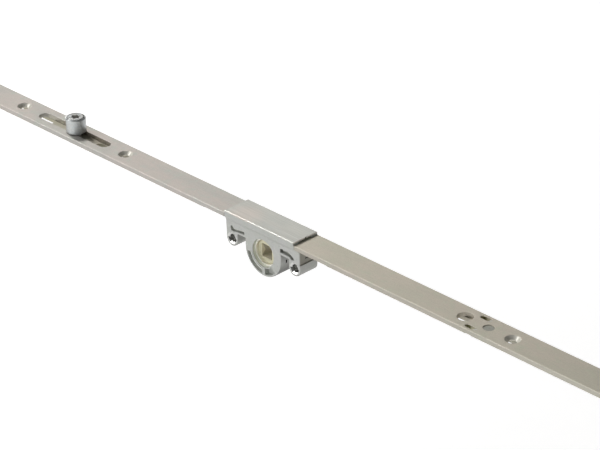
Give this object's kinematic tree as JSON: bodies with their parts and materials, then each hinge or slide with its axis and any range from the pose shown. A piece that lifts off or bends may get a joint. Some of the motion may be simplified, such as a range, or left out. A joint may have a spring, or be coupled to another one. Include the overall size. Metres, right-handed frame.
{
  "type": "window espagnolette",
  "caption": "Window espagnolette: faceplates on either side of a pinion gear case, a sliding drive rod under them and an eccentric roller cam.",
  "frame": {"origin": "on the spindle's axis, on the faceplates' middle line and half way between the handle screws", "axes": "+X along the faceplates from the cam to the guide rivet, +Y across them and away from the handle, +Z out of the sash's edge towards the frame"},
  "size_m": [0.4997, 0.016, 0.0342],
  "materials": {
    "faceplate_steel": "satin, zinc plated",
    "rod_steel": "satin, zinc plated",
    "case_zinc": "die-cast zinc, fine matt",
    "cover_steel": "brushed lengthwise, zinc plated",
    "rivet_steel": "zinc plated",
    "follower_steel": "sintered, yellow passivated",
    "bush_steel": "turned",
    "cam_steel": "bright zinc plated",
    "roller_steel": "turned, bright zinc plated",
    "stub_plastic": "moulded"
  },
  "bodies": {
    "body": {"faceplate_left": "faceplate_steel", "faceplate_right": "faceplate_steel", "gear_case_near": "case_zinc", "gear_case_far": "case_zinc", "gear_cover": "cover_steel", "cover_studs": "rivet_steel", "case_rivets": "rivet_steel", "follower_bush_near": "bush_steel", "follower_bush_far": "bush_steel", "guide_rivet": "rivet_steel", "transport_lock_stubs": "stub_plastic"},
    "follower": {"follower": "follower_steel"},
    "rod": {"drive_rod": "rod_steel"},
    "cam": {"cam_pin": "cam_steel", "cam_washer": "rivet_steel"},
    "roller": {"cam_roller": "roller_steel"}
  },
  "joints": [
    {"name": "handle_turn", "type": "hinge", "parent": "body", "child": "follower", "pos_m": [0, 0, 0], "axis": [0, 1, 0], "range_deg": [-90, 90]},
    {"name": "rod_slide", "type": "slide", "parent": "body", "child": "rod", "axis": [1, 0, 0], "range_m": [-0.0157, 0.0157]},
    {"name": "cam_adjust", "type": "hinge", "parent": "rod", "child": "cam", "pos_m": [-0.1445, 0, 0.012], "axis": [0, 0, 1], "continuous": true},
    {"name": "roller_spin", "type": "hinge", "parent": "cam", "child": "roller", "pos_m": [-0.1436, -0.0005, 0.018], "axis": [0, 0, 1], "continuous": true}
  ],
  "couplings": [
    {"joint": "handle_turn", "follows": "rod_slide", "rad_per_m": 100}
  ]
}
